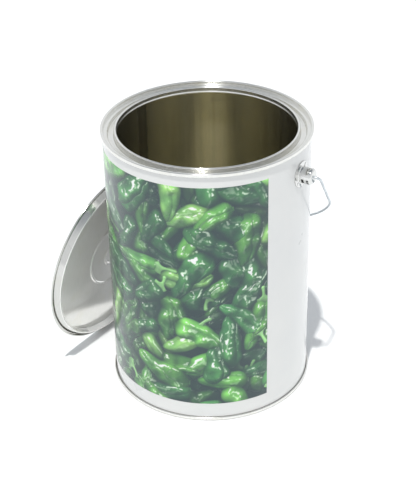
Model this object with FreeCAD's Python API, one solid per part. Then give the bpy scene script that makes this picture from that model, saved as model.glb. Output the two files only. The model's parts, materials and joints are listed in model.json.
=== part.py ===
import FreeCAD, Part
import math
import os

# Paint can with its lever lid off. Origin: can axis at the floor, +Z up through the mouth,
# +X through the right-hand ear, the printed label facing -Y. Millimetres and degrees.

# ---- can size ----
CAN_HEIGHT = 228.9        # bottom seam to top seam
SEAM_R = 84.15            # outside of both double seams
BODY_R = 82.6             # outside of the body wall
BODY_SHEET = 0.3          # tinplate of the body
END_SHEET = 0.36          # tinplate of the ring, the base and the lid
FIT_GAP = 0.3             # clearance kept where moving pieces lie against the wall

# ---- double seams ----
SEAM_HEIGHT = 2.93        # along the can axis
BODY_HOOK_R = 83.35       # middle of the body's turned-over hook
BODY_HOOK_LENGTH = 1.5
END_HOOK_R = 82.92        # middle of the ring's or base's hook, inside the body hook
CHUCK_R = 82.02           # middle of the seam's inner wall
COMPOUND_INNER_R = 82.55
COMPOUND_OUTER_R = 83.4
COMPOUND_DEPTH = 0.38     # seam edge to the sealing compound
COMPOUND_THICKNESS = 0.28
SEAM_PLAY = 0.02          # body hook clear of the compound
BODY_HOOK_BEND = 0.35     # bend radii, on the sheet's middle line
END_FOLD_BEND = 0.3
END_SEAM_BEND = 0.55
END_HOOK_TIP = 1.45       # end of the hook, in from the seam's edge

# ---- lever ring: depths below the top seam's edge ----
MOUTH_R = 71.0
RING_CURL_OUTER_R = 73.38
RING_CURL_DEPTH = 0.7
LEDGE_DEPTH = 3.2
CHANNEL_OUTER_R = 78.6
CHANNEL_DEPTH = 6.9
NECK_DEPTH = 5.6          # lower edge of the hemmed neck inside the mouth
NECK_HEM = 0.75           # radial width of the hem
NECK_HEM_RETURN = 1.0     # height of the hem's turned-back edge
BEND_PLAY = 0.01          # keeps paired bends just short of meeting
LEDGE_INNER_BEND = 0.5
LEDGE_OUTER_BEND = 0.8
CHANNEL_BEND = 1.1

# ---- base ----
PANEL_HEIGHT = 4.6        # base panel's rim above the floor
STEP_DROP = 1.2           # the base panel's sunk ring
STEP_OUTER_R = 73.0
STEP_INNER_R = 47.0
STEP_SLOPE = 1.4          # radial run of the step's sloping sides
PANEL_BEND = 0.9
STEP_BEND = 1.2
PAST_AXIS = -2.0          # discs are drawn past the axis, then trimmed there

# ---- side seam and label ----
SIDE_SEAM_AZIMUTH = 161.0
SIDE_SEAM_ARC = 6.0
SIDE_SEAM_COAT = 0.14
SIDE_SEAM_BOTTOM = 5.2
SIDE_SEAM_TOP_GAP = 4.0
LABEL_SHEET = 0.15
LABEL_BOTTOM = 16.4
LABEL_TOP = 216.7
LABEL_ARC = 126.0
LABEL_AZIMUTH = -90.0

# ---- ears ----
PIVOT_HEIGHT = 205.0
EAR_FLANGE_R = 10.5
EAR_FLANGE_SHEET = 0.8
EAR_CUP_R = 6.6
EAR_CUP_REACH = 11.0      # cup end out from the body wall
EAR_CUP_ROUND = 2.4
EAR_SHEET = 0.7
EAR_BLEND = 0.7           # rounding where the cup meets its flange
WINDOW_SPANS = ((2.9, 5.0), (7.2, 9.1))   # the cup's side windows, out from the wall
WINDOW_TOP = 0.6          # below the pivot
WINDOW_BOTTOM = 4.5
WINDOW_ROUND = 0.6
WELD_R = 1.3
WELD_CIRCLE_R = 8.55
WELD_CROWN = 0.22
WELD_ANGLES = (45.0, 135.0, 225.0, 315.0)

# ---- bail wire ----
WIRE_R = 1.0
RUNNING_GAP = 0.08        # wire in its ear hole, radial
BAIL_LEAN = 41.3          # rest angle from hanging straight down, towards +Y
BAIL_MIDDLE = 127.1       # pivot to the middle of the grip
BAIL_BENDS = ((84.0, 46.0), (165.0, 17.0), (38.0, 20.0))   # radius and turn, from the middle out
BAIL_LEG = 44.7
SHOULDER_R = 4.0
FOOT_BEND_R = 2.0
FOOT_X = 89.4             # middle of the turned foot inside the ear
FOOT_LENGTH = 4.6

# ---- lid: w runs from the plug side to the outer side ----
LID_CURL_R = 79.6         # middle circle of the rolled rim
LID_CURL_TUBE = 0.9
LID_CURL_TAIL_R = 79.2
PLUG_ROOT_R = 77.9
PLUG_CREST_R = 75.0
PLUG_INNER_R = 73.75
PLUG_DEPTH = 5.4
PLUG_ROOT_BEND = 0.5
PLUG_CREST_BEND = 0.55
LID_PANEL_BEND = 0.6
BEAD_RADII = (28.2, 9.4)
BEAD_FOOT_HALF = 1.65     # half width of a pressed ring at the panel
BEAD_TOP_HALF = 0.45      # and at its crest
BEAD_FOOT_BEND = 0.6
BEAD_TOP_BEND = 0.4
BEAD_HEIGHT = 0.75
LID_LEAN = 8.4            # plane of the lid from vertical
LID_FACING = 174.0        # azimuth that the outer side faces
LID_AWAY = 99.62          # lid centre from the can axis, along X
LID_ASIDE = 1.6           # and along Y

AXIS_Z = FreeCAD.Vector(0, 0, 1)
CENTRE = FreeCAD.Vector(0, 0, 0)
CUTTER_SPAN = 400.0       # larger than any piece that it trims


def rounded_line(points):
    """Edges through (vector, radius) points, each inner corner replaced by a tangent arc."""
    edges = []
    start = points[0][0]
    for before, corner, after in zip(points, points[1:], points[2:]):
        place, radius = corner
        towards = (place - before[0]).normalize()
        away = (after[0] - place).normalize()
        half_turn = towards.getAngle(away) / 2
        reach = radius * math.tan(half_turn)
        enter = place - towards * reach
        leave = place + away * reach
        inside = (away - towards).normalize()
        middle = place + inside * (radius / math.cos(half_turn) - radius)
        if (enter - start).Length > 1e-6:
            edges.append(Part.LineSegment(start, enter).toShape())
        edges.append(Part.Arc(enter, middle, leave).toShape())
        start = leave
    edges.append(Part.LineSegment(start, points[-1][0]).toShape())
    return edges


def turned_sheet(outline, sheet):
    """Solid of revolution from the middle line of a formed sheet: (r, z, corner radius) points."""
    points = [(FreeCAD.Vector(r, 0, z), corner) for r, z, corner in outline]
    middle_line = Part.Wire(rounded_line(points))
    edge = middle_line.makeOffset2D(sheet / 2, join=0, fill=False, openResult=False)
    section = Part.Face(edge)
    if outline[-1][0] < 0:
        keep = Part.makeBox(CUTTER_SPAN, 2, 2 * CUTTER_SPAN, FreeCAD.Vector(0, -1, -CUTTER_SPAN))
        section = section.common(keep).Faces[0]
    return section.revolve(CENTRE, AXIS_Z, 360)


def tube(outer_r, inner_r, bottom, top):
    """Plain ring between two radii and two heights."""
    height = top - bottom
    base = FreeCAD.Vector(0, 0, bottom)
    outer = Part.makeCylinder(outer_r, height, base)
    return outer.cut(Part.makeCylinder(inner_r, height, base))


def tube_sector(outer_r, inner_r, bottom, top, azimuth, arc):
    """Part of a plain ring, arc degrees wide about an azimuth."""
    outline = [FreeCAD.Vector(inner_r, 0, bottom), FreeCAD.Vector(outer_r, 0, bottom),
               FreeCAD.Vector(outer_r, 0, top), FreeCAD.Vector(inner_r, 0, top)]
    section = Part.Face(Part.makePolygon(outline + outline[:1]))
    section.rotate(CENTRE, AXIS_Z, azimuth - arc / 2)
    return section.revolve(CENTRE, AXIS_Z, arc)


def rod(radius, x_from, x_to, y=0.0, z=0.0):
    """Round bar along X."""
    return Part.makeCylinder(radius, x_to - x_from, FreeCAD.Vector(x_from, y, z),
                             FreeCAD.Vector(1, 0, 0))


# ---- the can ----

def body_shell():
    """Welded body wall with its hooks turned out into both seams."""
    wall = BODY_R - BODY_SHEET / 2
    hook_start = COMPOUND_DEPTH + COMPOUND_THICKNESS + BODY_SHEET / 2 + SEAM_PLAY
    hook_end = hook_start + BODY_HOOK_LENGTH
    bend = BODY_HOOK_BEND
    return turned_sheet([
        (BODY_HOOK_R, hook_end, 0),
        (BODY_HOOK_R, hook_start, bend),
        (wall, hook_start, bend),
        (wall, CAN_HEIGHT - hook_start, bend),
        (BODY_HOOK_R, CAN_HEIGHT - hook_start, bend),
        (BODY_HOOK_R, CAN_HEIGHT - hook_end, 0),
    ], BODY_SHEET)


def side_seam_stripe():
    """Lacquer stripe over the body's welded lap, on the inside."""
    inside = BODY_R - BODY_SHEET
    return tube_sector(inside, inside - SIDE_SEAM_COAT, SIDE_SEAM_BOTTOM,
                       CAN_HEIGHT - SIDE_SEAM_TOP_GAP, SIDE_SEAM_AZIMUTH, SIDE_SEAM_ARC)


def seam_outline():
    """Folded part of a double seam, from the hook to the inner wall, for an edge at height 0."""
    half = END_SHEET / 2
    outer = SEAM_R - half
    return [
        (END_HOOK_R, END_HOOK_TIP, 0),
        (END_HOOK_R, SEAM_HEIGHT - half, END_FOLD_BEND),
        (outer, SEAM_HEIGHT - half, END_FOLD_BEND),
        (outer, half, END_SEAM_BEND),
        (CHUCK_R, half, END_SEAM_BEND),
    ]


def base_end():
    """Bottom end: double seam, countersink and a stepped panel clear of the floor."""
    step = PANEL_HEIGHT - STEP_DROP
    return turned_sheet(seam_outline() + [
        (CHUCK_R, PANEL_HEIGHT, PANEL_BEND),
        (STEP_OUTER_R + STEP_SLOPE, PANEL_HEIGHT, STEP_BEND),
        (STEP_OUTER_R, step, STEP_BEND),
        (STEP_INNER_R, step, STEP_BEND),
        (STEP_INNER_R - STEP_SLOPE, PANEL_HEIGHT, STEP_BEND),
        (PAST_AXIS, PANEL_HEIGHT, 0),
    ], END_SHEET)


def lever_ring():
    """Top ring: double seam, ledge, the channel for the lid's plug, and the curled neck."""
    half = END_SHEET / 2
    curl = RING_CURL_OUTER_R - half
    neck = MOUTH_R + half
    curl_bend = (curl - neck) / 2 - BEND_PLAY
    hem = NECK_HEM / 2 - BEND_PLAY
    below = seam_outline() + [
        (CHUCK_R, LEDGE_DEPTH, LEDGE_INNER_BEND),
        (CHANNEL_OUTER_R, LEDGE_DEPTH, LEDGE_OUTER_BEND),
        (CHANNEL_OUTER_R, CHANNEL_DEPTH, CHANNEL_BEND),
        (curl, CHANNEL_DEPTH, CHANNEL_BEND),
        (curl, RING_CURL_DEPTH + half, curl_bend),
        (neck, RING_CURL_DEPTH + half, curl_bend),
        (neck, NECK_DEPTH, hem),
        (neck + NECK_HEM, NECK_DEPTH, hem),
        (neck + NECK_HEM, NECK_DEPTH - NECK_HEM_RETURN, 0),
    ]
    return turned_sheet([(r, CAN_HEIGHT - depth, corner) for r, depth, corner in below], END_SHEET)


def seam_compound(bottom):
    """Sealing compound squeezed between a seam's fold and the body hook."""
    return tube(COMPOUND_OUTER_R, COMPOUND_INNER_R, bottom, bottom + COMPOUND_THICKNESS)


def label_wrap():
    """Printed label wrapped round the front between the ears."""
    return tube_sector(BODY_R + LABEL_SHEET, BODY_R, LABEL_BOTTOM, LABEL_TOP,
                       LABEL_AZIMUTH, LABEL_ARC)


# ---- ears ----

def weld_posts(reach):
    """Four spot-weld posts at the +X ear, out from the body wall by reach."""
    posts = []
    for angle in WELD_ANGLES:
        y = WELD_CIRCLE_R * math.cos(math.radians(angle))
        z = PIVOT_HEIGHT + WELD_CIRCLE_R * math.sin(math.radians(angle))
        posts.append(rod(WELD_R, BODY_R / 2, BODY_R + 2 * EAR_CUP_REACH, y, z))
    shell = tube(BODY_R + reach, BODY_R, PIVOT_HEIGHT - 2 * EAR_FLANGE_R,
                 PIVOT_HEIGHT + 2 * EAR_FLANGE_R)
    return Part.makeCompound([post.common(shell).Solids[0] for post in posts])


def ear_welds():
    """Spot-weld nuggets that fix the +X ear's flange."""
    return weld_posts(EAR_FLANGE_SHEET + WELD_CROWN)


def ear():
    """Pressed ear at +X: curved flange, hooded cup with side windows, and the wire's hole."""
    wall = tube(BODY_R + EAR_FLANGE_SHEET, BODY_R, PIVOT_HEIGHT - 2 * EAR_FLANGE_R,
                PIVOT_HEIGHT + 2 * EAR_FLANGE_R)
    disc = rod(EAR_FLANGE_R, BODY_R / 2, BODY_R + EAR_CUP_REACH, z=PIVOT_HEIGHT)
    flange = disc.common(wall)
    tip = BODY_R + EAR_CUP_REACH
    cup = rod(EAR_CUP_R, BODY_R / 2, tip, z=PIVOT_HEIGHT)
    cup = cup.makeFillet(EAR_CUP_ROUND, [rim_at(cup, tip)])
    hollow = rod(EAR_CUP_R - EAR_SHEET, BODY_R / 2, tip - EAR_SHEET, z=PIVOT_HEIGHT)
    hollow = hollow.makeFillet(EAR_CUP_ROUND - EAR_SHEET, [rim_at(hollow, tip - EAR_SHEET)])
    inside_wall = Part.makeCylinder(BODY_R, CAN_HEIGHT)
    blank = flange.fuse(cup.cut(inside_wall)).removeSplitter()
    blank = blank.makeFillet(EAR_BLEND, blend_edges(blank))
    blank = blank.cut(hollow)
    blank = blank.cut(rod(WIRE_R + RUNNING_GAP, BODY_R, tip + 1, z=PIVOT_HEIGHT))
    for near, far in WINDOW_SPANS:
        blank = blank.cut(window(BODY_R + near, BODY_R + far))
    return blank.cut(weld_posts(2 * EAR_FLANGE_SHEET)).Solids[0]


def rim_at(solid, x):
    """The circular edge of a turned solid in the plane at x."""
    return next(edge for edge in solid.Edges
                if abs(edge.BoundBox.XMin - x) < 1e-6 and abs(edge.BoundBox.XMax - x) < 1e-6)


def blend_edges(blank):
    """Edges where the cup's wall meets the flange's outer face."""
    face_r = BODY_R + EAR_FLANGE_SHEET
    found = []
    for edge in blank.Edges:
        points = edge.discretize(9)
        on_cup = all(abs(math.hypot(p.y, p.z - PIVOT_HEIGHT) - EAR_CUP_R) < 1e-3 for p in points)
        on_flange = all(abs(math.hypot(p.x, p.y) - face_r) < 1e-3 for p in points)
        if on_cup and on_flange:
            found.append(edge)
    return found


def window(x_from, x_to):
    """Cutter for one pair of side windows through the cup, below the hood."""
    width = 4 * EAR_CUP_R
    height = WINDOW_BOTTOM - WINDOW_TOP
    corner = FreeCAD.Vector(x_from, -width / 2, PIVOT_HEIGHT - WINDOW_BOTTOM)
    box = Part.makeBox(x_to - x_from, width, height, corner)
    along_y = [edge for edge in box.Edges if abs(edge.BoundBox.YLength - width) < 1e-3]
    return box.makeFillet(WINDOW_ROUND, along_y)


def mirrored_to_left(shape):
    """The same piece on the -X side."""
    copy = shape.copy()
    copy.rotate(CENTRE, AXIS_Z, 180)
    return copy


# ---- bail ----

def bail_half(side):
    """Middle line of half the bail in its own plane: X across, -Z down the leg from the pivot."""
    def place(across, down):
        return FreeCAD.Vector(side * across, 0, -down)

    edges = []
    across = 0.0
    down = BAIL_MIDDLE
    heading = 0.0
    for radius, turn in BAIL_BENDS:
        stops = [heading + turn / 2, heading + turn]
        along = [radius * (math.sin(math.radians(a)) - math.sin(math.radians(heading))) for a in stops]
        rise = [radius * (math.cos(math.radians(heading)) - math.cos(math.radians(a))) for a in stops]
        ends = [place(across + along[i], down - rise[i]) for i in (0, 1)]
        edges.append(Part.Arc(place(across, down), ends[0], ends[1]).toShape())
        across += along[1]
        down -= rise[1]
        heading += turn
    leg_across = BAIL_LEG * math.cos(math.radians(heading))
    leg_down = BAIL_LEG * math.sin(math.radians(heading))
    start = place(across, down)
    slope = leg_across / leg_down
    shoulder = place(across + down * slope, 0)
    edges += rounded_line([(start, 0), (shoulder, SHOULDER_R), (place(FOOT_X, 0), FOOT_BEND_R),
                           (place(FOOT_X, FOOT_LENGTH), 0)])
    return edges


def bail_wire():
    """Round wire from the foot in one ear, over the grip, to the foot in the other."""
    path = Part.Wire(Part.__sortEdges__(bail_half(1) + bail_half(-1)))
    foot = FreeCAD.Vector(FOOT_X, 0, -FOOT_LENGTH)
    section = Part.Wire(Part.makeCircle(WIRE_R, foot, AXIS_Z))
    wire = path.makePipeShell([section], True, True)
    wire.rotate(CENTRE, FreeCAD.Vector(1, 0, 0), BAIL_LEAN)
    wire.translate(FreeCAD.Vector(0, 0, PIVOT_HEIGHT))
    return wire.Solids[0]


# ---- lid ----

def bead(radius, level):
    """Outline points of one ring pressed towards the plug side."""
    crest = level - BEAD_HEIGHT
    return [
        (radius + BEAD_FOOT_HALF, level, BEAD_FOOT_BEND),
        (radius + BEAD_TOP_HALF, crest, BEAD_TOP_BEND),
        (radius - BEAD_TOP_HALF, crest, BEAD_TOP_BEND),
        (radius - BEAD_FOOT_HALF, level, BEAD_FOOT_BEND),
    ]


def lid_flat():
    """Lever lid as it lies closed, with its rolled rim's middle circle at height 0."""
    level = LID_CURL_TUBE - END_SHEET / 2
    outer = LID_CURL_R + level
    outline = [
        (LID_CURL_TAIL_R, -level, 0),
        (outer, -level, level - 0.001),
        (outer, level, level - 0.001),
        (PLUG_ROOT_R, level, PLUG_ROOT_BEND),
        (PLUG_CREST_R, -PLUG_DEPTH, PLUG_CREST_BEND),
        (PLUG_INNER_R, -PLUG_DEPTH, PLUG_CREST_BEND),
        (PLUG_INNER_R, level, LID_PANEL_BEND),
    ]
    for radius in BEAD_RADII:
        outline += bead(radius, level)
    return turned_sheet(outline + [(PAST_AXIS, level, 0)], END_SHEET)


def leaning_lid():
    """The lid stood on its rim, leaning with its plug side against the can."""
    lean = math.radians(LID_LEAN)
    piece = lid_flat()
    piece.rotate(CENTRE, FreeCAD.Vector(0, 1, 0), 90 - LID_LEAN)
    piece.rotate(CENTRE, AXIS_Z, LID_FACING)
    height = LID_CURL_TUBE + LID_CURL_R * math.cos(lean)
    piece.translate(FreeCAD.Vector(-LID_AWAY, LID_ASIDE, height))
    return piece


def main():
    right_ear = ear()
    right_welds = ear_welds()
    pieces = {
        "body_shell": body_shell(),
        "side_seam_stripe": side_seam_stripe(),
        "base_end": base_end(),
        "base_seam_compound": seam_compound(COMPOUND_DEPTH),
        "lever_ring": lever_ring(),
        "ring_seam_compound": seam_compound(CAN_HEIGHT - COMPOUND_DEPTH - COMPOUND_THICKNESS),
        "label_wrap": label_wrap(),
        "ear_right": right_ear,
        "ear_left": mirrored_to_left(right_ear),
        "ear_right_welds": right_welds,
        "ear_left_welds": mirrored_to_left(right_welds),
        "bail_wire": bail_wire(),
        "lid": leaning_lid(),
    }
    os.makedirs("parts", exist_ok=True)
    for node, shape in pieces.items():
        shape.exportStep("parts/" + node + ".step")


main()
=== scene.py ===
import json
import math

import bmesh
import bpy
import numpy as np
from mathutils import Euler, Matrix, Vector


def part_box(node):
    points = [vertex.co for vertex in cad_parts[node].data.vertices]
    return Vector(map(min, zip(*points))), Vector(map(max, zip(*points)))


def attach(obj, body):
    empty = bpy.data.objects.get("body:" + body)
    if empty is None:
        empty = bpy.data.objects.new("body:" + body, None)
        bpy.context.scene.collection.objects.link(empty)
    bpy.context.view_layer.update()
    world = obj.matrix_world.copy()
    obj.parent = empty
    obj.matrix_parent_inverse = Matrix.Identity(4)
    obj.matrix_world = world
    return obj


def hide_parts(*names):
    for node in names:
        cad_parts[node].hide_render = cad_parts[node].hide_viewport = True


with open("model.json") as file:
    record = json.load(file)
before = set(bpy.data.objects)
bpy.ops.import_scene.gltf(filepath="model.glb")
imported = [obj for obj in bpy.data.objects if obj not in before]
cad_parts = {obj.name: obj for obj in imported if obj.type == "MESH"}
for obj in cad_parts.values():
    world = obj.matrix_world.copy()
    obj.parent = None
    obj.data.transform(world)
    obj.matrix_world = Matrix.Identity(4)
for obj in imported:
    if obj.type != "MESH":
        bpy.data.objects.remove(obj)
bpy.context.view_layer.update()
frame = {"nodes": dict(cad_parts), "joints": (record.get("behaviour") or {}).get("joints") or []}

MM = 0.001
SEED = 20

# ---- sizes read from the frame, in millimetres ----
_, ring_high = (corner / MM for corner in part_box("lever_ring"))
body_low, body_high = (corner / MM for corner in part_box("body_shell"))
label_low, label_high = (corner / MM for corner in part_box("label_wrap"))
joints = {joint["name"]: joint for joint in frame["joints"]}
TOP = ring_high.z                       # edge of the top seam
SEAM_R = ring_high.x                    # outside of both seams
PIVOT_Z = joints["bail_swing"]["pos_m"][2] / MM
LID_FOOT = Vector(joints["lid_tip"]["pos_m"]) / MM
LID_AXIS = Vector(joints["lid_tip"]["axis"])

# ---- sheet metal, in millimetres; radii are of the sheet's middle line unless they say otherwise ----
BODY_R = 82.6                           # outside of the wall
BODY_SHEET = 0.3                        # thickness of the wall
BODY_HOOK_R = 83.35                     # the wall's turned-out edge
BODY_HOOK = 1.5                         # how far that edge folds back
BODY_BEND = 0.35
END_SHEET = 0.36                        # thickness of the ring, the base and the lid
HALF_END = END_SHEET / 2
SEAM_HEIGHT = 2.93
SEAM_INNER_R = 82.02                    # inner wall of both seams
SEAM_BEND = 0.55
END_HOOK_R = 82.92                      # the end's edge, tucked between the wall and its hook
END_HOOK_TIP = 1.45                     # how far in from the seam's own edge it ends
FOLD_BEND = 0.3

# ---- lever ring: depths are below the top of the seam ----
MOUTH_R = 71.0                          # clear radius of the mouth
LEDGE_DEPTH = 3.2
CHANNEL_R = 78.6                        # outer wall of the channel
CHANNEL_DEPTH = 6.9
CHANNEL_BEND = 1.1
CHANNEL_IN_R = 73.38                    # face, towards the channel, of its inner wall
CURL_DEPTH = 0.7                        # top of the curl between channel and neck
CURL_BEND = 0.79
NECK_SLOPE = 0.42                       # how much wider the neck is at its top than at its hem
NECK_SLOPE_TOP = 4.1                    # the neck narrows from this depth
NECK_SLOPE_FOOT = 5.05                  # to this one
HEM_DEPTH = 5.6
HEM_WIDTH = 0.85
HEM_RETURN = 5.2                        # where the hem's folded edge ends

# ---- base end: heights are above the seam's lower edge ----
BASE_PANEL = 4.6
BASE_STEP = 3.4
BASE_STEP_R = ((74.4, 73.0), (47.0, 45.6))      # where the step leaves the panel, and where it comes back
BASE_BEND = 1.2
PAST_AXIS = -2.0                        # outlines that cross the axis end here and are cut at 0

# ---- lid: heights are from the middle of its rolled rim ----
LID_LEAN = 8.4                          # degrees from upright
LID_CURL_R = 79.6                       # circle through the middle of the rolled rim
LID_CURL_TUBE = 0.9                     # outside radius of the rim's own section
LID_CURL_EDGE_R = 79.2                  # where the rolled edge ends
LID_PLUG_R = 77.9                       # where the plug leaves the rim
LID_PLUG_FOOT_R = (75.0, 73.75)
LID_PLUG_DEPTH = 5.4
LID_RINGS_R = (28.2, 9.4)               # middles of the two pressed rings
LID_RING_FOOT = 1.25                    # half the width of a pressed ring where it leaves the panel
LID_RING_CREST = 0.35                   # and on its crest
LID_RING_RISE = 0.75
LID_FLAT_R = 73.0                       # the panel is uneven inside this radius
LID_WAVE = 0.12
LID_SATIN_R = 0.0752                    # in metres: edge of the varnished part, and where the painted shade on the rim begins

# ---- bail ----
BAIL_LEAN = 41.3                        # degrees back from hanging straight down
BAIL_DROP = 127.1                       # from the pivot to the middle of the bow
BAIL_ARCS = ((84.0, 46.0), (165.0, 17.0), (38.0, 20.0))   # radius and degrees, middle outward
BAIL_SHOULDER_BEND = 4.0
BAIL_FOOT_BEND = 2.0
BAIL_FOOT_R = 89.4                      # where the foot turns inside the ear
BAIL_FOOT_DROP = 4.6
WIRE_R = 1.0
WIRE_SIDES = 20
WIRE_END_R = 0.8
WIRE_END_DOME = 0.12

# ---- label ----
LABEL_SHEET = 0.12
PRINT_PITCH = 0.5                       # one point of the print each 0.5 mm
PAPER_EDGE = (0.75, 0.75, 0.73)

TURN_STEPS = 256                        # segments round every turned piece
SHARP_DEGREES = 50.0                    # edges that turn more than this stay sharp
WELD_DISTANCE = 1e-6

# ---- the print: linear colours, lengths in millimetres ----
GAP_COLOUR = (0.010, 0.022, 0.010)
SKINS = ((0.46, (0.022, 0.105, 0.022)),         # draws below this value get this skin
         (0.88, (0.060, 0.215, 0.032)),
         (1.00, (0.135, 0.335, 0.075)))
SKIN_BLUSH = (1.9, 1.45, 1.3)
SKIN_GAIN = 1.22
STEM_SHARE = 0.20
STEM_COLOUR = (0.11, 0.24, 0.07)
STEM_SHINE = 0.35
PAINTED_SHEEN = (0.014, 0.040, 0.047)            # painted sheen: an even lift over the whole print, standing in for the bright surround seen in its gloss
BRIGHTEST = 0.85
PEPPER_SPACING = 17.0
PEPPER_SCATTER = 0.45                   # of the spacing
PEPPER_LEVELS = (-4.0, 12.0)
SUN_WAY = (-0.45, 0.55, 0.75)
GLOSS_COLOUR = (0.82, 0.90, 0.76)
GLOSS_PATCHES = (                       # direction, cosines where it is full and gone, gain
    ((-0.55, 0.66, 0.52), 0.990, 0.950, 1.55),
    ((0.70, 0.35, 0.62), 0.992, 0.940, 0.80),
    ((-0.15, 0.25, 0.95), 0.995, 0.90, 0.36),
    ((0.1, -0.85, 0.5), 0.99, 0.90, 0.10),
)

# ---- stage, in metres and degrees ----
CAMERA_STAND = 30.0                     # round from the label's front
CAMERA_AZIMUTH = 30.07
CAMERA_PITCH = 31.50
CAMERA_ROLL = -0.0197                   # radians
CAMERA_AWAY = 0.9176
CAMERA_HEIGHT = 0.6757
CAMERA_LENS = 93.40                     # millimetres, on a sensor 36 wide
CAMERA_SENSOR = 36.0
CAMERA_CLIP = (0.05, 20.0)
FLOOR_R = 4.0
KEY_ENERGY = 2.5
KEY_WIDTH = 1.6
KEY_TURN = 30.0
KEY_FALL = (0.0829, 0.3238, -1.0)
KEY_COLOUR = (1.0, 0.99, 0.965)
LOW_SKY = (0.45, (0.90, 0.92, 0.94, 1))         # upward part of the direction, and colour
HIGH_SKY = (0.88, (0.33, 0.36, 0.40, 1))


# ================= outlines and turned meshes =================

def rounded(points, spacing=2.5, arc_step=12.0):
    """Points (r, z, corner radius) to a smooth polyline with tangent arcs at its corners."""
    path = [np.array(points[0][:2], float)]

    def straight_to(end):
        start = path[-1]
        count = max(1, int(np.hypot(*(end - start)) / spacing))
        for i in range(1, count + 1):
            path.append(start + (end - start) * i / count)

    for before, corner, after in zip(points, points[1:], points[2:]):
        here = np.array(corner[:2], float)
        towards = here - np.array(before[:2], float)
        away = np.array(after[:2], float) - here
        towards /= np.hypot(*towards)
        away /= np.hypot(*away)
        turn = math.acos(max(-1.0, min(1.0, float(towards @ away))))
        reach = corner[2] * math.tan(turn / 2)
        straight_to(here - towards * reach)
        side = math.copysign(1.0, towards[0] * away[1] - towards[1] * away[0])
        centre = here - towards * reach + side * corner[2] * np.array([-towards[1], towards[0]])
        spoke = path[-1] - centre
        count = max(2, int(math.degrees(turn) / arc_step))
        for i in range(1, count + 1):
            a = side * turn * i / count
            path.append(centre + np.array([spoke[0] * math.cos(a) - spoke[1] * math.sin(a),
                                           spoke[0] * math.sin(a) + spoke[1] * math.cos(a)]))
    straight_to(np.array(points[-1][:2], float))
    return np.array(path)


def sheet_outline(points, sheet):
    """Both faces of a formed sheet from its middle line: the left-hand face, then the right."""
    middle = rounded(points)
    tangent = np.gradient(middle, axis=0)
    tangent /= np.linalg.norm(tangent, axis=1)[:, None]
    normal = np.stack([-tangent[:, 1], tangent[:, 0]], axis=1)
    left = middle + normal * sheet / 2
    right = middle - normal * sheet / 2
    return left, right


def turned(name, left, right, shift=None):
    """Object from a sheet outline spun about Z. Material 0 is the left face, 1 the right.

    shift moves the points, as an array of steps by outline by three, before the mesh is made.
    """
    outline = np.concatenate([left, right[::-1]])
    sides = np.array([0] * len(left) + [1] * len(right))
    on_axis = left[-1][0] <= 0
    outline[:, 0] = np.maximum(outline[:, 0], 0.0)
    angles = np.arange(TURN_STEPS) * 2 * math.pi / TURN_STEPS
    r, z = outline[:, 0], outline[:, 1]
    verts = np.stack([r[None, :] * np.cos(angles)[:, None], r[None, :] * np.sin(angles)[:, None],
                      np.broadcast_to(z, (TURN_STEPS, len(z)))], axis=2)
    if shift is not None:
        verts = shift(verts)
    count = len(outline)
    faces = []
    materials = []
    for i in range(TURN_STEPS):
        here, there = i * count, (i + 1) % TURN_STEPS * count
        for j in range(count):
            k = (j + 1) % count
            if on_axis and r[j] == 0 and r[k] == 0:
                continue
            faces.append((here + j, there + j, there + k, here + k))
            materials.append(int(sides[j]))
    mesh = bpy.data.meshes.new(name)
    mesh.from_pydata((verts.reshape(-1, 3) * MM).tolist(), [], faces)
    mesh.polygons.foreach_set("material_index", materials)
    return finished(name, mesh)


def finished(name, mesh):
    """Object from a mesh with doubled points merged, faces outward and smooth shading."""
    work = bmesh.new()
    work.from_mesh(mesh)
    bmesh.ops.remove_doubles(work, verts=work.verts, dist=WELD_DISTANCE)
    bmesh.ops.recalc_face_normals(work, faces=work.faces)
    for face in work.faces:
        face.smooth = True
    for edge in work.edges:
        if len(edge.link_faces) == 2 and edge.calc_face_angle(0.0) > math.radians(SHARP_DEGREES):
            edge.smooth = False
    work.to_mesh(mesh)
    work.free()
    piece = bpy.data.objects.new(name, mesh)
    bpy.context.scene.collection.objects.link(piece)
    return piece


# ================= shader helpers =================

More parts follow.
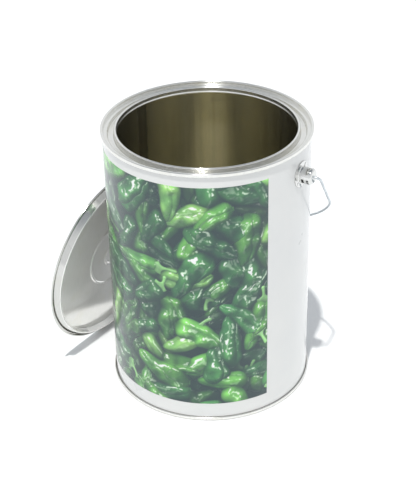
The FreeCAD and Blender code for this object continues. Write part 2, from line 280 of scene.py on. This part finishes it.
class Shader:
    """A material's node tree with short calls for the nodes used here."""

    def __init__(self, name, **inputs):
        self.material = bpy.data.materials.new(name)
        self.material.use_nodes = True
        self.nodes = self.material.node_tree.nodes
        self.links = self.material.node_tree.links
        self.surface = self.nodes["Principled BSDF"]
        self.set(self.surface, inputs)
        self.place = self.nodes.new("ShaderNodeTexCoord").outputs["Object"]

    def set(self, node, inputs):
        for key, value in inputs.items():
            socket = node.inputs[key.replace("_", " ")] if isinstance(key, str) else node.inputs[key]
            if isinstance(value, bpy.types.NodeSocket):
                self.links.new(value, socket)
            else:
                socket.default_value = value

    def node(self, kind, inputs=None, **settings):
        made = self.nodes.new("ShaderNode" + kind)
        for key, value in settings.items():
            setattr(made, key, value)
        self.set(made, inputs or {})
        return made

    def maths(self, operation, *values):
        inputs = dict(enumerate(values))
        return self.node("Math", inputs, operation=operation).outputs[0]

    def scaled(self, x, y, z, source=None):
        return self.node("Mapping", {"Vector": source or self.place, "Scale": (x, y, z)}).outputs[0]

    def noise(self, scale, detail=3.0, source=None, distortion=0.0):
        made = self.node("TexNoise", {"Vector": source or self.place, "Scale": scale, "Detail": detail,
                                      "Roughness": 0.55, "Distortion": distortion})
        return made.outputs["Fac"]

    def remap(self, value, low, high, to_low, to_high):
        made = self.node("MapRange", {"Value": value, "From Min": low, "From Max": high,
                                      "To Min": to_low, "To Max": to_high})
        return made.outputs["Result"]

    def mix(self, factor, first, second, blend="MIX"):
        made = self.node("Mix", data_type="RGBA", blend_type=blend)
        self.set(made, {0: factor, 6: first, 7: second})
        return made.outputs[2]

    def polar(self):
        """Radius about the object's Z, the two parts of the direction round it, and the height."""
        x, y, height = self.node("SeparateXYZ", {0: self.place}).outputs
        radius = self.maths("SQRT", self.maths("ADD", self.maths("MULTIPLY", x, x),
                                               self.maths("MULTIPLY", y, y)))
        return radius, self.maths("DIVIDE", x, radius), self.maths("DIVIDE", y, radius), height

    def vector(self, x, y, z):
        return self.node("CombineXYZ", {0: x, 1: y, 2: z}).outputs[0]

    def crevice_shade(self, reach, low, high):
        """Mask for painted shade: 1 in the open, falling to 0 in narrow gaps and inside corners."""
        open_ = self.node("AmbientOcclusion", {"Distance": reach}, samples=8).outputs["AO"]
        return self.remap(open_, low, high, 0.0, 1.0)

    def bump(self, height, distance, strength, below=None):
        made = self.node("Bump", {"Height": height, "Distance": distance, "Strength": strength})
        if below is not None:
            self.links.new(below, made.inputs["Normal"])
        return made.outputs["Normal"]

    def finish(self, **outputs):
        self.set(self.surface, outputs)
        return self.material


# ================= materials =================

def white_coating():
    """Gloss white coating: faint orange peel, uneven gloss, a few fine scuffs and painted shade in gaps
    and corners.
    """
    s = Shader("white_coating", Metallic=0.0, IOR=1.5, Coat_Weight=0.8, Coat_Roughness=0.05)
    cloud = s.noise(22.0, 4.0)
    scuff_place = s.scaled(1.0, 1.0, 0.25)
    scuff = s.remap(s.noise(420.0, 5.0, scuff_place, 1.2), 0.70, 0.76, 0.0, 1.0)
    colour = s.mix(s.remap(cloud, 0.3, 0.7, 0.0, 1.0), (0.63, 0.635, 0.63, 1), (0.665, 0.665, 0.65, 1))
    colour = s.mix(s.maths("MULTIPLY", scuff, 0.25), colour, (0.55, 0.56, 0.56, 1))
    # painted shade: ambient occlusion darkens the white towards near black-brown in narrow gaps and
    # inside corners
    colour = s.mix(s.crevice_shade(0.002, 0.42, 0.62), (0.16, 0.15, 0.13, 1), colour)
    rough = s.maths("ADD", s.remap(cloud, 0.3, 0.7, 0.26, 0.38), s.maths("MULTIPLY", scuff, 0.2))
    peel = s.bump(s.noise(900.0, 2.0), 0.00006, 0.35)
    return s.finish(Base_Color=colour, Roughness=rough, Normal=peel)


def olive_lacquer(name, roughness, metallic, anisotropic, shade=1.0):
    """Tinplate under a clear olive lacquer: faint vertical draw lines and slow waves of tone."""
    s = Shader(name, Metallic=metallic, Anisotropic=anisotropic, Anisotropic_Rotation=0.25)
    _, across, along, height = s.polar()
    lines = s.noise(1.0, 4.0, s.scaled(22.0, 22.0, 3.0, s.vector(across, along, height)))
    wave = s.noise(1.0, 2.0, s.scaled(4.5, 4.5, 1.0, s.vector(across, along, height)))
    colour = s.mix(s.remap(lines, 0.3, 0.7, 0.0, 1.0), (0.635, 0.612, 0.485, 1), (0.685, 0.662, 0.53, 1))
    colour = s.mix(s.remap(wave, 0.35, 0.65, 0.0, 0.8), colour, (0.80, 0.77, 0.635, 1))
    colour = s.mix(1.0, colour, (shade, shade, shade, 1), "MULTIPLY")
    rough = s.remap(lines, 0.25, 0.75, roughness * 0.92, roughness * 1.08)
    tangent = s.node("Tangent", direction_type="RADIAL", axis="Z").outputs[0]
    relief = s.bump(wave, 0.0012, 0.25)
    return s.finish(Base_Color=colour, Roughness=rough, Normal=relief, Tangent=tangent)


def tinplate(name, colour, roughness, anisotropic=0.0, satin_r=None):
    """Bright tinplate: concentric forming marks, rolling grain, small stains and painted shade in gaps
    and corners.

    Inside satin_r, in metres, it is less metallic, as under a thin varnish. Beyond it, the colour is
    darkened as painted shade.
    """
    s = Shader(name, Metallic=1.0, Anisotropic=anisotropic, Anisotropic_Rotation=0.25)
    radius, _, _, height = s.polar()
    drift = s.maths("MULTIPLY", s.noise(9.0, 1.0), 2.0)
    marks = s.noise(1.0, 3.0, s.vector(s.maths("MULTIPLY", radius, 2600.0),
                                       s.maths("MULTIPLY", height, 2600.0), drift))
    grain = s.noise(1.0, 5.0, s.scaled(90.0, 1800.0, 90.0))
    stain = s.noise(55.0, 5.0, distortion=0.6)
    dark = tuple(c * 0.88 for c in colour[:3]) + (1,)
    warm = (colour[0] * 0.92, colour[1] * 0.90, colour[2] * 0.83, 1)
    tone = s.mix(s.remap(grain, 0.35, 0.65, 0.0, 0.55), colour, dark)
    tone = s.mix(s.remap(stain, 0.52, 0.75, 0.0, 0.5), tone, warm)
    rough = s.remap(s.maths("ADD", marks, grain), 0.7, 1.3, roughness * 0.75, roughness * 1.35)
    if satin_r:
        # painted shade: beyond satin_r the colour is multiplied down to 0.70, darkening the lid's plug
        # wall and rolled rim
        outside = s.remap(radius, satin_r, satin_r + 0.0003, 0.0, 1.0)
        tone = s.mix(outside, tone, (0.70, 0.70, 0.695, 1), "MULTIPLY")
        s.set(s.surface, {"Metallic": s.remap(outside, 0.0, 1.0, 0.70, 1.0)})
    # painted shade: ambient occlusion darkens the metal towards near black-brown in narrow gaps and
    # inside corners
    tone = s.mix(s.crevice_shade(0.0014, 0.30, 0.68), (0.10, 0.09, 0.07, 1), tone)
    relief = s.bump(marks, 0.00003, 0.12)
    relief = s.bump(stain, 0.0001, 0.15, relief)
    tangent = s.node("Tangent", direction_type="RADIAL", axis="Z").outputs[0]
    return s.finish(Base_Color=tone, Roughness=rough, Normal=relief, Tangent=tangent)


def wire_steel():
    """Galvanised drawn wire: fine bumps and cloudy zinc."""
    s = Shader("wire_steel", Metallic=1.0)
    cloud = s.noise(160.0, 4.0)
    fine = s.noise(1500.0, 3.0)
    colour = s.mix(s.remap(cloud, 0.3, 0.7, 0.0, 1.0), (0.52, 0.56, 0.59, 1), (0.72, 0.76, 0.78, 1))
    rough = s.remap(cloud, 0.3, 0.7, 0.30, 0.45)
    return s.finish(Base_Color=colour, Roughness=rough, Normal=s.bump(fine, 0.00004, 0.5))


def compound():
    """Matt grey sealing compound."""
    s = Shader("compound", Roughness=0.8)
    colour = s.mix(s.noise(300.0), (0.20, 0.20, 0.21, 1), (0.28, 0.28, 0.29, 1))
    return s.finish(Base_Color=colour, Normal=s.bump(s.noise(800.0), 0.0001, 0.5))


def label_print():
    """Laminated print: colour from the pepper pattern, fine print grain, uneven laminate."""
    s = Shader("label_print", IOR=1.5, Coat_Weight=0.6, Coat_Roughness=0.09)
    ink = s.node("VertexColor", layer_name="print").outputs["Color"]
    grain = s.noise(3500.0, 2.0)
    ink = s.mix(s.remap(grain, 0.3, 0.7, 0.0, 0.18), ink, (0.0, 0.0, 0.0, 1), "MULTIPLY")
    cloud = s.noise(30.0, 3.0)
    rough = s.remap(cloud, 0.3, 0.7, 0.22, 0.34)
    return s.finish(Base_Color=ink, Roughness=rough, Normal=s.bump(s.noise(140.0, 2.0), 0.0002, 0.12))


# ================= the pepper pattern =================

def soft_noise(shape, blur, rng):
    """Smooth random field of unit spread; blur is in cells."""
    fy = np.fft.fftfreq(shape[0])[:, None]
    fx = np.fft.fftfreq(shape[1])[None, :]
    keep = np.exp(-2 * (math.pi * blur) ** 2 * (fx ** 2 + fy ** 2))
    field = np.fft.ifft2(np.fft.fft2(rng.standard_normal(shape)) * keep).real
    return (field - field.mean()) / field.std()


def blurred(field, blur):
    """Gaussian blur; blur is in cells."""
    fy = np.fft.fftfreq(field.shape[0])[:, None]
    fx = np.fft.fftfreq(field.shape[1])[None, :]
    keep = np.exp(-2 * (math.pi * blur) ** 2 * (fx ** 2 + fy ** 2))
    return np.fft.ifft2(np.fft.fft2(field) * keep).real


class Heap:
    """A lit heap of peppers seen from above: height, slope and skin colour on a grid."""

    def __init__(self, width, height, pitch, rng):
        self.rng = rng
        self.pitch = pitch
        self.x = np.arange(int(width / pitch)) * pitch
        self.y = np.arange(int(height / pitch)) * pitch
        shape = (len(self.y), len(self.x))
        self.level = np.full(shape, -9.0)
        self.slope = np.zeros(shape + (2,))
        self.skin = np.zeros(shape + (3,)) + GAP_COLOUR
        self.shine = np.zeros(shape)
        self.dents = soft_noise(shape, 3.0 / pitch, rng)
        self.wrinkles = soft_noise(shape, 1.1 / pitch, rng)
        self.speckle = soft_noise(shape, 0.7 / pitch, rng)

    def window(self, line, reach):
        """Rows and columns of the cells within reach of the line, or None off the sheet."""
        low, high = line.min(axis=0) - reach, line.max(axis=0) + reach
        columns = np.where((self.x > low[0]) & (self.x < high[0]))[0]
        rows = np.where((self.y > low[1]) & (self.y < high[1]))[0]
        if len(columns) < 3 or len(rows) < 3:
            return None
        return slice(rows[0], rows[-1] + 1), slice(columns[0], columns[-1] + 1)

    def along(self, window, line, heading):
        """For each cell: index of the nearest point of the line, and offsets along and across it."""
        gx, gy = np.meshgrid(self.x[window[1]], self.y[window[0]])
        dx = gx[..., None] - line[:, 0]
        dy = gy[..., None] - line[:, 1]
        near = (dx * dx + dy * dy).argmin(axis=-1)
        ox, oy = gx - line[near, 0], gy - line[near, 1]
        c, s = np.cos(heading[near]), np.sin(heading[near])
        return near, ox * c + oy * s, oy * c - ox * s

    def merge(self, window, height, inside, skin, shine):
        """Keeps the new surface where it is highest."""
        gy, gx = np.gradient(height, self.pitch)
        wins = inside & (height > self.level[window])
        self.level[window] = np.where(wins, height, self.level[window])
        self.slope[window] = np.where(wins[..., None], np.stack([gx, gy], axis=-1), self.slope[window])
        self.skin[window] = np.where(wins[..., None], skin, self.skin[window])
        self.shine[window] = np.where(wins, shine, self.shine[window])

    def pepper(self, centre, floor_level):
        """Adds one bent, lobed and dented pepper, some with a stem."""
        rng = self.rng
        length = rng.uniform(36.0, 54.0)
        girth = length * rng.uniform(0.21, 0.31)
        t = np.linspace(0.0, 1.0, 24)
        heading = rng.uniform(0, 2 * math.pi) + rng.uniform(-1.0, 1.0) * (t - 0.5)
        steps = np.stack([np.cos(heading), np.sin(heading)], axis=1) * length / (len(t) - 1)
        line = np.cumsum(steps, axis=0)
        line += np.array(centre) - line[len(t) // 2]
        window = self.window(line, girth + 2)
        if window is None:
            return
        near, forward, across = self.along(window, line, heading)
        place = t[near] + forward / length
        body = np.clip(place, 0.0, 1.0)
        half = girth * (1 - np.exp(-(body + 0.015) * 13.0)) * (1 - 0.38 * body) \
            * np.sqrt(np.clip(1 - body ** 5, 0, 1)) + 0.05
        half *= 1 + 0.05 * self.dents[window]
        overrun = np.abs(place - body) * length
        side = across / half
        inside = (np.abs(side) < 0.99) & (overrun < 0.6)
        s = np.clip(side, -0.99, 0.99)
        turn = np.arcsin(s)
        lobes = rng.integers(3, 6)
        phase = rng.uniform(0, 2 * math.pi)
        groove = np.abs(np.cos(turn * lobes / 2 + phase + 0.5 * self.dents[window] * body))
        end_fold = np.exp(-((1 - body) * 5.0) ** 2)
        profile = np.sqrt(1 - s * s) * (0.84 + 0.16 * groove ** 0.7 + 0.10 * end_fold * (groove - 0.6))
        shoulder = 1 - 0.35 * np.exp(-(body * 9.0) ** 2)
        height = floor_level + half * profile * shoulder \
            + 0.50 * self.dents[window] * profile + 0.045 * self.wrinkles[window]
        ripe = rng.random()
        skin = np.array(next(colour for share, colour in SKINS if ripe < share))
        skin = skin * rng.uniform(0.75, 1.3)
        blush = np.clip(0.5 + 0.35 * self.dents[window] + 0.5 * (0.5 - body), 0, 1)[..., None]
        pale = skin * np.array(SKIN_BLUSH)
        self.merge(window, height, inside, skin + (pale - skin) * blush * 0.6, 1.0)
        if rng.random() < STEM_SHARE:
            self.stem(line[0], heading[0] + math.pi, floor_level + girth * 0.55, girth)

    def stem(self, start, heading, floor_level, girth):
        """Adds a curved stem that widens where it meets its pepper."""
        rng = self.rng
        t = np.linspace(0.0, 1.0, 30)
        length = rng.uniform(8.0, 14.0)
        turn = heading + rng.uniform(-1.1, 1.1) * t
        line = np.array(start) + np.cumsum(
            np.stack([np.cos(turn), np.sin(turn)], axis=1), axis=0) * length / len(t)
        line -= np.array([math.cos(heading), math.sin(heading)]) * 2.5
        window = self.window(line, girth)
        if window is None:
            return
        near, forward, across = self.along(window, line, turn)
        place = t[near]
        radius = 1.3 + girth * 0.42 * np.exp(-place * 9.0) + 0.5 * place ** 3
        gap = np.hypot(across, np.where((near == 0) | (near == len(t) - 1), forward, 0.0))
        side = np.clip(gap / radius, 0, 1)
        height = floor_level + 1.6 * np.sqrt(1 - side ** 2) * (0.7 + 0.3 * place) + 1.5 * place
        tone = np.array(STEM_COLOUR) * rng.uniform(0.8, 1.5)
        self.merge(window, height, side < 0.98, tone, STEM_SHINE)

    def lit(self):
        """Colour of the heap under a broad sky, a sun from the upper left and a weaker side light."""
        gx, gy = self.slope[..., 0], self.slope[..., 1]
        gx = gx + 0.05 * self.speckle + 0.05 * self.wrinkles
        gy = gy + 0.05 * np.roll(self.speckle, 7, axis=0) + 0.05 * np.roll(self.wrinkles, 11, axis=1)
        size = np.sqrt(gx * gx + gy * gy + 1)
        nx, ny, nz = -gx / size, -gy / size, 1 / size
        mirror = np.stack([2 * nz * nx, 2 * nz * ny, 2 * nz * nz - 1], axis=-1)

        def towards(*way):
            return np.array(way) / np.linalg.norm(way)

        sun = towards(*SUN_WAY)
        facing = np.clip(nx * sun[0] + ny * sun[1] + nz * sun[2], 0, 1)
        sky = 0.5 + 0.5 * nz
        open_ = np.clip(0.55 + (self.level - blurred(self.level, 7.0 / self.pitch)) * 0.11, 0.08, 1.15)
        tight = np.clip(0.8 + (self.level - blurred(self.level, 2.2 / self.pitch)) * 0.22, 0.15, 1.1)
        depth = np.clip(0.55 + self.level / 40.0, 0.35, 1.15)
        light = (0.30 * sky + 1.05 * facing ** 1.2) * open_ * tight * depth
        colour = self.skin * light[..., None] * 1.25

        def patch(way, inner, outer, gain):
            aligned = mirror @ towards(*way)
            glow = np.clip((aligned - outer) / (inner - outer), 0, 1)
            return gain * glow * glow * (3 - 2 * glow)

        gloss = sum(patch(*spot) for spot in GLOSS_PATCHES)
        gloss *= self.shine * open_ * np.clip(0.75 + 0.35 * self.dents, 0.1, 1.3)
        # the even lift added here is painted sheen over the whole print; the gloss term is the pictured
        # peppers' own highlights
        shown = colour * SKIN_GAIN + np.array(PAINTED_SHEEN) + gloss[..., None] * np.array(GLOSS_COLOUR)
        return np.clip(shown, 0, BRIGHTEST)


def pepper_print(width, height, pitch, rng):
    """Colours of a heap of green peppers on a width by height sheet, one cell per pitch, in mm."""
    heap = Heap(width, height, pitch / 2, rng)
    spots = []
    for j in range(int(height / PEPPER_SPACING) + 3):
        for i in range(int(width / PEPPER_SPACING) + 3):
            spots.append(((i - 0.5 + rng.uniform(-PEPPER_SCATTER, PEPPER_SCATTER)) * PEPPER_SPACING,
                          (j - 0.5 + rng.uniform(-PEPPER_SCATTER, PEPPER_SCATTER)) * PEPPER_SPACING))
    rng.shuffle(spots)
    for centre in spots:
        heap.pepper(centre, rng.uniform(*PEPPER_LEVELS))
    fine = heap.lit()
    rows, columns = fine.shape[0] // 2 * 2, fine.shape[1] // 2 * 2
    fine = fine[:rows, :columns]
    return (fine[0::2, 0::2] + fine[1::2, 0::2] + fine[0::2, 1::2] + fine[1::2, 1::2]) / 4


# ================= pieces =================

def seam_points():
    """Folded part of a double seam, for an edge at height 0, from its hook to its inner wall."""
    outer = SEAM_R - HALF_END
    height = SEAM_HEIGHT - HALF_END
    return [(END_HOOK_R, END_HOOK_TIP, 0), (END_HOOK_R, height, FOLD_BEND), (outer, height, FOLD_BEND),
            (outer, HALF_END, SEAM_BEND), (SEAM_INNER_R, HALF_END, SEAM_BEND)]


def make_body(materials):
    """The wall with both edges turned out into hooks."""
    wall = BODY_R - BODY_SHEET / 2
    low, high = body_low.z + BODY_SHEET / 2, body_high.z - BODY_SHEET / 2
    points = [(BODY_HOOK_R, low + BODY_HOOK, 0), (BODY_HOOK_R, low, BODY_BEND), (wall, low, BODY_BEND),
              (wall, high, BODY_BEND), (BODY_HOOK_R, high, BODY_BEND), (BODY_HOOK_R, high - BODY_HOOK, 0)]
    left, right = sheet_outline(points, BODY_SHEET)
    piece = turned("can_wall", left, right)
    return dressed(piece, "can", materials, "coated_body", "body_shell")


def make_ring(materials):
    """The lever ring: seam, ledge, channel for the lid's plug, curl, and neck with its hem."""
    curl, neck = CHANNEL_IN_R - HALF_END, MOUTH_R + HALF_END
    lean, hem = neck + NECK_SLOPE, neck + HEM_WIDTH
    top = CURL_DEPTH + HALF_END
    depths = seam_points() + [
        (SEAM_INNER_R, LEDGE_DEPTH, 0.5), (CHANNEL_R, LEDGE_DEPTH, 0.8),
        (CHANNEL_R, CHANNEL_DEPTH, CHANNEL_BEND), (curl, CHANNEL_DEPTH, CHANNEL_BEND),
        (curl, top, CURL_BEND), (lean, top, CURL_BEND), (lean, NECK_SLOPE_TOP, FOLD_BEND),
        (neck, NECK_SLOPE_FOOT, 0.25), (neck, HEM_DEPTH, FOLD_BEND), (hem, HEM_DEPTH, FOLD_BEND),
        (hem, HEM_RETURN, 0)]
    left, right = sheet_outline([(r, TOP - depth, corner) for r, depth, corner in depths], END_SHEET)
    piece = turned("lever_ring_formed", left, right)
    return dressed(piece, "can", materials, "tinplate", "lever_ring")


def make_base(materials):
    """The base end: seam and flat panel with one step ring."""
    (step_out, step_from), (step_to, step_in) = BASE_STEP_R
    points = seam_points() + [
        (SEAM_INNER_R, BASE_PANEL, 0.9), (step_out, BASE_PANEL, BASE_BEND),
        (step_from, BASE_STEP, BASE_BEND), (step_to, BASE_STEP, BASE_BEND),
        (step_in, BASE_PANEL, BASE_BEND), (PAST_AXIS, BASE_PANEL, 0)]
    left, right = sheet_outline(points, END_SHEET)
    piece = turned("base_panel", left, right)
    return dressed(piece, "can", materials, "tinplate", "base_end")


def lid_place():
    """The leaning lid's own axes: X towards its top edge, Z out of its outer side."""
    facing = Vector((LID_AXIS.y, -LID_AXIS.x, 0))
    lean = math.radians(LID_LEAN)
    outward = facing * math.cos(lean) + Vector((0, 0, math.sin(lean)))
    up = -facing * math.sin(lean) + Vector((0, 0, math.cos(lean)))
    side = outward.cross(up)
    turn = Matrix((up, side, outward)).transposed().to_4x4()
    return Matrix.Translation((LID_FOOT + up * LID_CURL_R) * MM) @ turn


def make_lid(material):
    """The lid: rolled rim, plug, and panel with two pressed rings."""
    level = LID_CURL_TUBE - HALF_END
    outer = LID_CURL_R + level
    roll = level - 0.001                # a full round would leave no straight between its two halves
    plug_out, plug_in = LID_PLUG_FOOT_R
    points = [(LID_CURL_EDGE_R, -level, 0), (outer, -level, roll), (outer, level, roll),
              (LID_PLUG_R, level, 0.5), (plug_out, -LID_PLUG_DEPTH, 0.55),
              (plug_in, -LID_PLUG_DEPTH, 0.55), (plug_in, level, 0.6)]
    crest = level - LID_RING_RISE
    for radius in LID_RINGS_R:
        points += [(radius + LID_RING_FOOT, level, 0.4), (radius + LID_RING_CREST, crest, 0.3),
                   (radius - LID_RING_CREST, crest, 0.3), (radius - LID_RING_FOOT, level, 0.4)]
    left, right = sheet_outline(points + [(PAST_AXIS, level, 0)], END_SHEET)
    piece = turned("lever_lid", left, right, lid_waves)
    piece.matrix_world = lid_place()
    return dressed(piece, "lid", [material, material], "lid_tinplate", "lid")


def lid_waves(verts):
    """Slight oil-canning of the flat panel, inward only."""
    x, y = verts[..., 0], verts[..., 1]
    r = np.hypot(x, y)
    inner = np.clip((LID_FLAT_R - r) / 12.0, 0, 1)
    wave = 0.5 + 0.25 * np.sin(x / 21.0 + 0.6) + 0.25 * np.sin(y / 26.0 - x / 47.0 + 1.9)
    verts[..., 2] -= LID_WAVE * inner * wave
    return verts


def bail_path():
    """Middle line of the bail in its own plane, foot to foot: (across, down) in millimetres."""
    points = [(0.0, BAIL_DROP)]
    heading = 0.0
    across, down = points[0]
    for radius, turn in BAIL_ARCS:
        count = max(4, int(turn / 2))
        for i in range(1, count + 1):
            a = math.radians(heading + turn * i / count)
            h = math.radians(heading)
            points.append((across + radius * (math.sin(a) - math.sin(h)),
                           down - radius * (math.cos(h) - math.cos(a))))
        across, down = points[-1]
        heading += turn
    slope = 1 / math.tan(math.radians(heading))
    corners = [(across, down, 0), (across + down * slope, 0.0, BAIL_SHOULDER_BEND),
               (BAIL_FOOT_R, 0.0, BAIL_FOOT_BEND), (BAIL_FOOT_R, BAIL_FOOT_DROP, 0)]
    half = points + [tuple(p) for p in rounded(corners, 3.0)[1:]]
    return [(-a, d) for a, d in half[:0:-1]] + half


def make_bail(material):
    """The wire as a round tube that follows its middle line, with slightly domed cut ends."""
    path = np.array(bail_path())
    middle = np.stack([path[:, 0], np.zeros(len(path)), -path[:, 1]], axis=1)
    tangent = np.gradient(middle, axis=0)
    tangent /= np.linalg.norm(tangent, axis=1)[:, None]
    across = np.tile([0.0, 1.0, 0.0], (len(middle), 1))
    other = np.cross(tangent, across)
    angles = np.arange(WIRE_SIDES) * 2 * math.pi / WIRE_SIDES
    sections = [(middle[0] - tangent[0] * WIRE_END_DOME, WIRE_END_R, 0)]
    sections += [(point, WIRE_R, i) for i, point in enumerate(middle)]
    sections.append((middle[-1] + tangent[-1] * WIRE_END_DOME, WIRE_END_R, len(middle) - 1))
    verts = []
    for point, radius, i in sections:
        for a in angles:
            verts.append(point + radius * (math.cos(a) * across[i] + math.sin(a) * other[i]))
    faces = []
    for i in range(len(sections) - 1):
        here, there = i * WIRE_SIDES, (i + 1) * WIRE_SIDES
        for j in range(WIRE_SIDES):
            k = (j + 1) % WIRE_SIDES
            faces.append((here + j, here + k, there + k, there + j))
    faces.append(tuple(range(WIRE_SIDES)))
    faces.append(tuple((len(sections) - 1) * WIRE_SIDES + j for j in range(WIRE_SIDES)))
    mesh = bpy.data.meshes.new("bail")
    mesh.from_pydata((np.array(verts) * MM).tolist(), [], faces)
    piece = finished("bail", mesh)
    lean = Euler((math.radians(BAIL_LEAN), 0, 0)).to_matrix().to_4x4()
    piece.matrix_world = Matrix.Translation((0, 0, PIVOT_Z * MM)) @ lean
    return dressed(piece, "bail", [material], "bail_steel", "bail_wire")


def make_label(material):
    """Curved label sheet with the print as a colour on its points."""
    radius = math.hypot(label_low.x, label_high.y)
    arc = 2 * math.asin(label_high.x / radius)
    width = radius * arc
    height = label_high.z - label_low.z
    picture = pepper_print(width, height, PRINT_PITCH, np.random.default_rng(SEED))
    rows, columns = picture.shape[:2]
    angles = -math.pi / 2 + arc * (np.arange(columns) / (columns - 1) - 0.5)
    heights = label_low.z + height * np.arange(rows) / (rows - 1)
    outer = np.zeros((rows, columns, 3))
    outer[..., 0] = radius * np.cos(angles)[None]
    outer[..., 1] = radius * np.sin(angles)[None]
    outer[..., 2] = heights[:, None]
    inner_scale = (radius - LABEL_SHEET) / radius
    edge = np.concatenate([np.arange(columns), columns - 1 + columns * np.arange(1, rows),
                           (rows - 1) * columns + np.arange(columns - 2, -1, -1),
                           columns * np.arange(rows - 2, 0, -1)])
    flat = outer.reshape(-1, 3)
    under = flat[edge] * np.array([inner_scale, inner_scale, 1.0])
    verts = np.concatenate([flat, under])
    grid = np.arange(rows * columns).reshape(rows, columns)
    faces = np.stack([grid[:-1, :-1], grid[:-1, 1:], grid[1:, 1:], grid[1:, :-1]], axis=-1)
    faces = faces.reshape(-1, 4)
    n = len(edge)
    start = rows * columns
    hem = [(int(edge[(i + 1) % n]), int(edge[i]), start + i, start + (i + 1) % n) for i in range(n)]
    mesh = bpy.data.meshes.new("label_sheet")
    mesh.from_pydata((verts * MM).tolist(), [], faces.tolist() + hem)
    colours = np.ones((len(verts), 4), np.float32)
    colours[:start, :3] = picture.reshape(-1, 3)
    colours[start:, :3] = PAPER_EDGE
    layer = mesh.color_attributes.new("print", "FLOAT_COLOR", "POINT")
    layer.data.foreach_set("color", colours.ravel())
    for polygon in mesh.polygons:
        polygon.use_smooth = True
    piece = bpy.data.objects.new("label_sheet", mesh)
    bpy.context.scene.collection.objects.link(piece)
    return dressed(piece, "can", [material], "label", "label_wrap")


def dressed(piece, body, materials, slot, *nodes):
    """Gives a piece its materials and its body, and hides the CAD nodes that it stands for; slot is not
    used.
    """
    for material in materials:
        piece.data.materials.append(material)
    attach(piece, body)
    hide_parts(*nodes)
    return piece


def paint_node(node, material):
    """A CAD node keeps its shape and gets a better material."""
    slots = frame["nodes"][node].data.materials
    slots.clear()
    slots.append(material)


# ================= stage =================

def make_camera():
    """Camera 30 degrees round from the label's front, looking 31.5 degrees down."""
    azimuth = math.radians(CAMERA_AZIMUTH)
    pitch = math.radians(CAMERA_PITCH)
    forward = Vector((-math.sin(azimuth) * math.cos(pitch), math.cos(azimuth) * math.cos(pitch),
                      -math.sin(pitch)))
    right = forward.cross(Vector((0, 0, 1))).normalized()
    up = right.cross(forward)
    across = math.cos(CAMERA_ROLL) * right + math.sin(CAMERA_ROLL) * up
    upward = -math.sin(CAMERA_ROLL) * right + math.cos(CAMERA_ROLL) * up
    camera = bpy.data.objects.new("camera", bpy.data.cameras.new("camera"))
    bpy.context.scene.collection.objects.link(camera)
    turn = Matrix((across, upward, -forward)).transposed().to_4x4()
    stand = math.radians(CAMERA_STAND)
    place = Vector((math.sin(stand) * CAMERA_AWAY, -math.cos(stand) * CAMERA_AWAY, CAMERA_HEIGHT))
    camera.matrix_world = Matrix.Translation(place) @ turn
    camera.data.lens = CAMERA_LENS
    camera.data.sensor_width = CAMERA_SENSOR
    camera.data.clip_start, camera.data.clip_end = CAMERA_CLIP
    bpy.context.scene.camera = camera


def make_floor():
    """Wide pale floor."""
    mesh = bpy.data.meshes.new("floor")
    work = bmesh.new()
    bmesh.ops.create_circle(work, cap_ends=True, segments=96, radius=FLOOR_R)
    work.to_mesh(mesh)
    work.free()
    floor = bpy.data.objects.new("floor", mesh)
    bpy.context.scene.collection.objects.link(floor)
    s = Shader("pale_floor", Roughness=0.9)
    tone = s.mix(s.noise(3.0, 2.0), (0.86, 0.87, 0.875, 1), (0.88, 0.885, 0.89, 1))
    floor.data.materials.append(s.finish(Base_Color=tone, Specular_IOR_Level=0.1))


def make_key():
    """One high key light whose shadow falls back and right."""
    light = bpy.data.lights.new("key", "SUN")
    light.energy = KEY_ENERGY
    light.angle = math.radians(KEY_WIDTH)
    light.color = KEY_COLOUR
    key = bpy.data.objects.new("key", light)
    bpy.context.scene.collection.objects.link(key)
    fall = Matrix.Rotation(math.radians(KEY_TURN), 4, "Z") @ Vector(KEY_FALL)
    key.rotation_mode = "QUATERNION"
    key.rotation_quaternion = fall.to_track_quat("-Z", "Y")


def make_surround():
    """Plain surround, bright low down and dimmer overhead."""
    world = bpy.data.worlds.new("surround")
    bpy.context.scene.world = world
    world.use_nodes = True
    nodes, links = world.node_tree.nodes, world.node_tree.links
    back = nodes["Background"]
    heading = nodes.new("ShaderNodeTexCoord")
    parts = nodes.new("ShaderNodeSeparateXYZ")
    links.new(heading.outputs["Generated"], parts.inputs[0])
    ramp = nodes.new("ShaderNodeValToRGB")
    links.new(parts.outputs[2], ramp.inputs[0])
    ramp.color_ramp.interpolation = "EASE"
    for element, (position, colour) in zip(ramp.color_ramp.elements, (LOW_SKY, HIGH_SKY)):
        element.position = position
        element.color = colour
    links.new(ramp.outputs["Color"], back.inputs["Color"])
    back.inputs["Strength"].default_value = 1.0
    view = bpy.context.scene.view_settings
    view.view_transform = "Standard"
    view.look = "None"


def main():
    make_camera()
    make_floor()
    make_key()
    make_surround()
    white = white_coating()
    lacquer = olive_lacquer("olive_lacquer", roughness=0.20, metallic=1.0, anisotropic=0.92)
    base_lacquer = olive_lacquer("olive_lacquer_base", roughness=0.6, metallic=0.9, anisotropic=0.0)
    stripe_lacquer = olive_lacquer("olive_lacquer_stripe", roughness=0.35, metallic=1.0,
                                   anisotropic=0.0, shade=0.45)
    ring_metal = tinplate("tinplate_bright", (0.84, 0.835, 0.805, 1), roughness=0.20, anisotropic=0.92)
    lid_metal = tinplate("tinplate_satin", (0.97, 0.965, 0.94, 1), roughness=0.14, satin_r=LID_SATIN_R)
    ear_metal = tinplate("ear_steel_bright", (0.76, 0.76, 0.745, 1), roughness=0.08)
    make_body([lacquer, white])
    make_ring([lacquer, ring_metal])
    make_base([ring_metal, base_lacquer])
    make_lid(lid_metal)
    make_bail(wire_steel())
    make_label(label_print())
    for node in ("ear_right", "ear_left", "ear_right_welds", "ear_left_welds"):
        paint_node(node, ear_metal)
    paint_node("side_seam_stripe", stripe_lacquer)
    grey = compound()
    for node in ("base_seam_compound", "ring_seam_compound"):
        paint_node(node, grey)


main()
